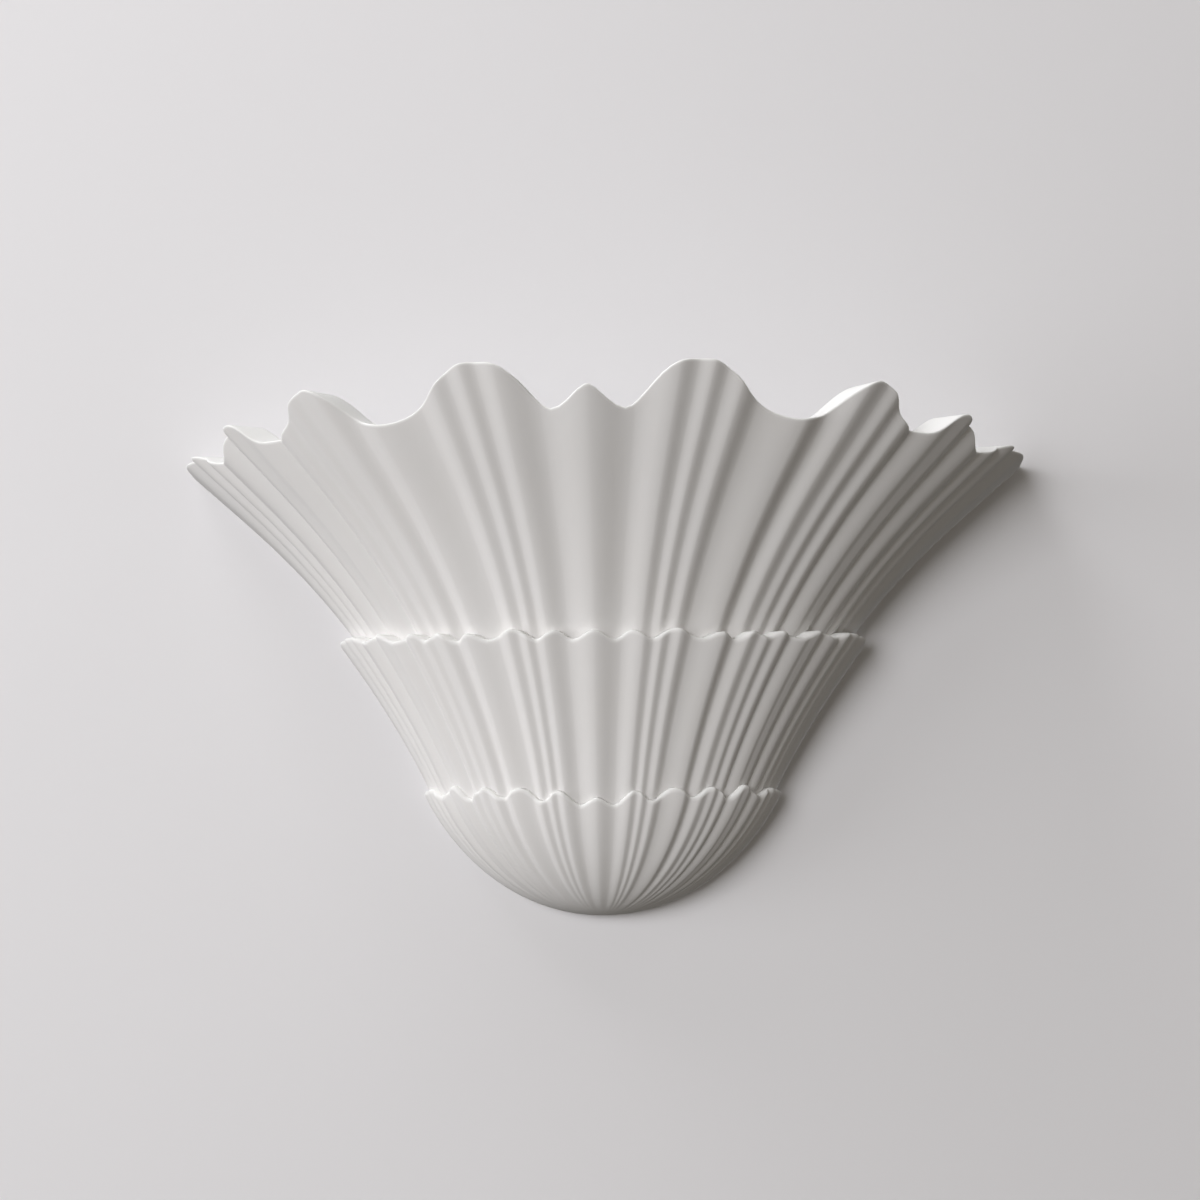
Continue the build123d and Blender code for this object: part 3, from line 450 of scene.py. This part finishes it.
def tier_section(angle, outside, inside, low, high, lip, rows, crowd=1.0, fade=None):
    """One section from the foot up the outside, over the rim and down: half width, height, share of lip."""
    shade = bpy.context.scene.sconce_shade
    lip, inner = lip * 1000, shade.inner_round * 1000
    level = shade.relief * soften(flute, abs(angle), FLUTE_SOFT)
    bottom, top = low(abs(angle)), high(abs(angle))
    end_inside = top - inner / 2

    def fluted(height):
        share = 1 - math.exp(-height / fade) if fade else 1.0
        return outside(height) * (1 + level * share)

    points = []
    for k in range(rows + 1):
        height = bottom + (top - lip - bottom) * (k / rows) ** crowd
        points.append([fluted(height), height, 0.0])
    edge = [fluted(top), top, 1.0]
    rim_inside = [inside(top), top, 1.0]
    run = rim_inside[0] - edge[0]
    reach = min(lip * LIP_RUN, abs(run) / 3)
    points += rounded_corner(points[-1], edge, [edge[0] - reach, top, 1.0], LIP_STEPS)[1:]
    for share in TOP_SHARES:
        points.append([edge[0] + run * share, top, 1.0])
    points += rounded_corner([rim_inside[0] + inner, top, 1.0], rim_inside,
                             [inside(end_inside), end_inside, 0.0], INNER_STEPS)
    foot = bottom + (POLE_WALL if fade else 0.0)
    for k in range(1, rows // 2 + 1):
        share = 1 - (1 - k / (rows // 2)) ** crowd
        height = end_inside + (foot - end_inside) * share
        points.append([inside(height), height, 0.0])
    return points


# ================================================================ pieces
def carry_section(name, sections, angles, closed):
    """Bends a flat grid so that each column is the section at its angle, and closes it at the wall."""
    rows = len(sections[0]) + (1 if closed else 0)
    deselect()
    bpy.ops.mesh.primitive_grid_add(x_subdivisions=len(angles) - 1, y_subdivisions=rows - 1, size=1)
    piece = bpy.context.object
    piece.name = piece.data.name = name
    if len(piece.data.vertices) != len(angles) * rows:
        raise RuntimeError("the grid has another number of points than columns and rows")
    # the lip attribute marks the rim rows that get the painted highlight
    lip = piece.data.attributes.new("lip", "FLOAT", "POINT")
    for point in piece.data.vertices:
        column = round((point.co.x + 0.5) * (len(angles) - 1))
        row = round((point.co.y + 0.5) * (rows - 1))
        half_width, height, lip.data[point.index].value = sections[column][row % len(sections[column])]
        turn = math.radians(angles[column])
        point.co = Vector((half_width * math.sin(turn), -PLAN_RATIO * half_width * math.cos(turn),
                           height - MOUNT_HEIGHT)) / 1000
    bpy.ops.object.mode_set(mode="EDIT")
    bpy.ops.mesh.select_all(action="SELECT")
    bpy.ops.mesh.remove_doubles(threshold=0.00001)
    bpy.ops.mesh.fill_holes(sides=0)
    bpy.ops.mesh.select_all(action="SELECT")
    bpy.ops.mesh.normals_make_consistent(inside=False)
    bpy.ops.object.mode_set(mode="OBJECT")
    bpy.ops.object.shade_smooth_by_angle(angle=math.radians(50))
    return piece


def dress(piece, material, body, slot, *nodes):
    """Gives a piece its material and its body, and hides the nodes that it stands for. The slot is not used.
    """
    piece.data.materials.clear()
    piece.data.materials.append(material)
    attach(piece, body)
    if nodes:
        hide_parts(*nodes)


def lug(side):
    """Plaster block inside the upper tier that takes one end of the hanging bar: side is -1 or 1."""
    bar_low, bar_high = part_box("hanger_bar")
    screw_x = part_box("hanger_inserts")[1][0] * 1000 - INSERT_RADIUS
    middle = (bar_low[2] + bar_high[2]) * 500
    deselect()
    bpy.ops.mesh.primitive_cube_add(size=1)
    piece = bpy.context.object
    for point in piece.data.vertices:
        height = middle + LUG_TALL * (0.5 if point.co.z > 0 else -0.5)
        inner, outer = screw_x - LUG_MARGIN, upper_inside(height + MOUNT_HEIGHT) + LUG_REACH
        depth = bar_low[1] * 1000 - (LUG_DEEP if point.co.y < 0 else 0.0)
        point.co = Vector((side * (outer if point.co.x > 0 else inner), depth, height)) / 1000
    bpy.ops.object.mode_set(mode="EDIT")
    bpy.ops.mesh.select_all(action="SELECT")
    bpy.ops.mesh.normals_make_consistent(inside=False)
    bpy.ops.mesh.bevel(offset=LUG_SOFT / 1000, segments=3, affect="EDGES")
    bpy.ops.object.mode_set(mode="OBJECT")
    bpy.ops.mesh.primitive_cylinder_add(
        vertices=40, radius=INSERT_RADIUS / 1000, depth=DRILL_LONG / 1000,
        location=(side * screw_x / 1000, bar_low[1], middle / 1000), rotation=(math.pi / 2, 0, 0))
    drill = bpy.context.object
    deselect()
    piece.select_set(True)
    bpy.context.view_layer.objects.active = piece
    bpy.ops.object.modifier_add(type="BOOLEAN")
    piece.modifiers[-1].object = drill
    piece.modifiers[-1].operation = "DIFFERENCE"
    bpy.ops.object.modifier_apply(modifier=piece.modifiers[-1].name)
    bpy.data.objects.remove(drill)
    bpy.ops.object.shade_smooth_by_angle(angle=math.radians(40))
    return piece


def plaster():
    return bpy.data.materials.get("painted_gypsum_plaster") or painted_gypsum_plaster()


class SCONCE_OT_upper_tier(bpy.types.Operator):
    """Model the tall upper tier with its scalloped rim and the lugs for the hanging bar"""

    bl_idname = "sconce.upper_tier"
    bl_label = "Upper tier"

    def execute(self, context):
        angles = column_angles()
        sections = [tier_section(a, upper_outside, upper_inside, lambda t: rim(MIDDLE_RIM, t) + FILM,
                                 lambda t: rim(UPPER_RIM, t), context.scene.sconce_shade.rim_round,
                                 UPPER_ROWS) for a in angles]
        piece = carry_section("upper_tier", sections, angles, True)
        lugs = [lug(-1), lug(1)]
        deselect()
        for one in lugs + [piece]:
            one.select_set(True)
        context.view_layer.objects.active = piece
        bpy.ops.object.join()
        dress(piece, plaster(), "shade", "cast_plaster", "upper_shell")
        return {"FINISHED"}


class SCONCE_OT_middle_tier(bpy.types.Operator):
    """Model the middle tier, whose rim the upper tier stands on"""

    bl_idname = "sconce.middle_tier"
    bl_label = "Middle tier"

    def execute(self, context):
        angles = column_angles()
        sections = [tier_section(a, middle_outside, middle_inside, lambda t: rim(BOWL_RIM, t) + FILM,
                                 lambda t: rim(MIDDLE_RIM, t), context.scene.sconce_shade.lip_round,
                                 MIDDLE_ROWS) for a in angles]
        piece = carry_section("middle_tier", sections, angles, True)
        dress(piece, plaster(), "shade", "cast_plaster", "middle_shell")
        return {"FINISHED"}


class SCONCE_OT_bowl(bpy.types.Operator):
    """Model the bowl that closes the shade at the bottom"""

    bl_idname = "sconce.bowl"
    bl_label = "Bowl"

    def execute(self, context):
        angles = column_angles()
        sections = [tier_section(a, bowl_outside, bowl_inside, lambda t: POLE,
                                 lambda t: rim(BOWL_RIM, t), context.scene.sconce_shade.lip_round,
                                 BOWL_ROWS, BOWL_CROWD, FLUTE_FADE) for a in angles]
        for section in sections:
            section.insert(0, [0.0, POLE, 0.0])
            section[-1] = [0.0, section[-1][1], 0.0]
        piece = carry_section("bowl", sections, angles, False)
        dress(piece, plaster(), "shade", "cast_plaster", "lower_bowl")
        return {"FINISHED"}


class SCONCE_OT_finishes(bpy.types.Operator):
    """Give the bracket, the wiring and the lamps their finishes"""

    bl_idname = "sconce.finishes"
    bl_label = "Bracket and lamp finishes"

    def execute(self, context):
        made = finish_materials()
        for name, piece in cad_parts.items():
            key = name.removesuffix("_left").removesuffix("_right")
            if key not in FINISHES:
                continue
            for holder in piece.material_slots:
                holder.link = "OBJECT"
                holder.material = made[FINISHES[key]]
        return {"FINISHED"}


# ================================================================ stage, light and camera
def stage_plane(name, size, place, upright):
    """A large plane that isn't part of the object and that only the camera sees, from its front.

    Lamps shine through it. The upright one is matt and keeps the light from all round off the object's
    back. The level one is an even backdrop.
    """
    stage = bpy.context.scene.sconce_stage
    deselect()
    bpy.ops.mesh.primitive_plane_add(size=size, location=place,
                                     rotation=(math.pi / 2 if upright else 0.0, 0, 0))
    plane = bpy.context.object
    plane.name = plane.data.name = name
    material, tree, output, spot = new_material(name + "_paint")
    path = add_node(tree, "ShaderNodeLightPath")
    rays = camera_ray = path.outputs["Is Camera Ray"]
    if upright:
        rays = add_node(tree, "ShaderNodeMath", [(0, camera_ray), (1, path.outputs["Is Diffuse Ray"])],
                        operation="MAXIMUM").outputs[0]
        # rolled emulsion: a soft stipple, about 3 mm across
        stipple = add_node(tree, "ShaderNodeTexNoise", [("Vector", spot)],
                           [("Scale", 330.0), ("Detail", 2.0)])
        bump = add_node(tree, "ShaderNodeBump", [("Height", stipple.outputs["Fac"])],
                        [("Strength", 0.2), ("Distance", 0.0001)])
        # the object sees it dark, so that the shade is darkest where it meets the wall
        colour = add_node(tree, "ShaderNodeMix", [("Factor", camera_ray)],
                          [(6, linear(stage.wall_bounce)), (7, linear(stage.wall))], data_type="RGBA")
        paint = add_node(tree, "ShaderNodeBsdfDiffuse", [("Color", colour.outputs[2]),
                                                         ("Normal", bump.outputs["Normal"])])
    else:
        paint = add_node(tree, "ShaderNodeEmission", (),
                         [("Color", linear(stage.floor)), ("Strength", stage.floor_level)])
    clear = add_node(tree, "ShaderNodeBsdfTransparent")
    side = add_node(tree, "ShaderNodeNewGeometry")
    front = add_node(tree, "ShaderNodeMath", [(1, side.outputs["Backfacing"])], [(0, 1.0)],
                     operation="SUBTRACT")
    seen = add_node(tree, "ShaderNodeMath", [(0, front.outputs[0]), (1, rays)], operation="MULTIPLY")
    finish = add_node(tree, "ShaderNodeMixShader", [(0, seen.outputs[0]), (1, clear.outputs[0]),
                                                    (2, paint.outputs[0])])
    tree.links.new(finish.outputs[0], output.inputs[0])
    plane.data.materials.append(material)
    return plane


def area_lamp(name, power, size, place, hex_colour):
    """A round soft lamp that points at the object."""
    deselect()
    bpy.ops.object.light_add(type="AREA", location=place)
    lamp = bpy.context.object
    lamp.name = name
    lamp.data.energy = power
    lamp.data.shape = "DISK"
    lamp.data.size = size
    lamp.data.color = linear(hex_colour)[:3]
    lamp.rotation_euler = (-Vector(place)).to_track_quat("-Z", "Y").to_euler()
    return lamp


class SCONCE_OT_stage(bpy.types.Operator):
    """Set the wall, the floor, the soft light and the camera"""

    bl_idname = "sconce.stage"
    bl_label = "Stage, light and camera"

    def execute(self, context):
        scene = context.scene
        stage = scene.sconce_stage
        stage_plane("wall", STAGE_SIZE, WALL_PLACE, True)
        stage_plane("floor", STAGE_SIZE, FLOOR_PLACE, False)
        for name, size, place in LAMPS:
            lamp = area_lamp(name, getattr(stage, name), size, place, stage.lamps)
            # the lamp behind the wall isn't mirrored in bare metal
            lamp.visible_glossy = name != "rear"
        world = scene.world or bpy.data.worlds.new("studio")
        scene.world = world
        world.use_nodes = True
        tree = world.node_tree
        tree.nodes.clear()
        path = add_node(tree, "ShaderNodeLightPath")
        near = add_node(tree, "ShaderNodeMath", [(0, path.outputs["Is Camera Ray"]),
                                                 (1, path.outputs["Is Glossy Ray"])], operation="MAXIMUM")
        seen = add_node(tree, "ShaderNodeMath", [(0, near.outputs[0]),
                                                 (1, path.outputs["Is Transmission Ray"])],
                        operation="MAXIMUM")
        level = add_node(tree, "ShaderNodeMapRange", [("Value", seen.outputs[0])],
                         [("To Min", stage.world), ("To Max", stage.backdrop)])
        tint = add_node(tree, "ShaderNodeMix", [("Factor", seen.outputs[0])],
                        [(6, linear(stage.ambient)), (7, linear("FFFFFF"))], data_type="RGBA")
        sky = add_node(tree, "ShaderNodeBackground", [("Strength", level.outputs[0]),
                                                      ("Color", tint.outputs[2])])
        add_node(tree, "ShaderNodeOutputWorld", [("Surface", sky.outputs[0])])
        deselect()
        bpy.ops.object.camera_add(location=[v / 1000 for v in CAMERA_PLACE])
        camera = context.object
        aim = Vector(CAMERA_TARGET) - Vector(CAMERA_PLACE)
        camera.rotation_euler = aim.to_track_quat("-Z", "Y").to_euler()
        camera.data.sensor_width = CAMERA_SENSOR
        camera.data.lens = CAMERA_LENS
        camera.data.clip_end = 50.0
        scene.camera = camera
        scene.view_settings.view_transform = "Standard"
        return {"FINISHED"}


class SCONCE_PT_panel(bpy.types.Panel):
    """Sizes, colours and steps of the wall light"""

    bl_idname = "SCONCE_PT_panel"
    bl_label = "Shell wall sconce"
    bl_space_type = "VIEW_3D"
    bl_region_type = "UI"
    bl_category = "Sconce"

    def draw(self, context):
        layout = self.layout
        for group in (context.scene.sconce_shade, context.scene.sconce_stage):
            box = layout.box()
            for key in group.__annotations__:
                box.prop(group, key)
        for step in STEPS:
            layout.operator(step.bl_idname)


STEPS = (SCONCE_OT_upper_tier, SCONCE_OT_middle_tier, SCONCE_OT_bowl, SCONCE_OT_finishes, SCONCE_OT_stage)
CLASSES = (SconceShade, SconceStage) + STEPS + (SCONCE_PT_panel,)


def register():
    for item in CLASSES:
        bpy.utils.register_class(item)
    bpy.types.Scene.sconce_shade = bpy.props.PointerProperty(type=SconceShade)
    bpy.types.Scene.sconce_stage = bpy.props.PointerProperty(type=SconceStage)


def unregister():
    del bpy.types.Scene.sconce_stage
    del bpy.types.Scene.sconce_shade
    for item in reversed(CLASSES):
        bpy.utils.unregister_class(item)


def main():
    register()
    bpy.ops.sconce.upper_tier()
    bpy.ops.sconce.middle_tier()
    bpy.ops.sconce.bowl()
    bpy.ops.sconce.finishes()
    bpy.ops.sconce.stage()


if __name__ == "__main__":
    main()
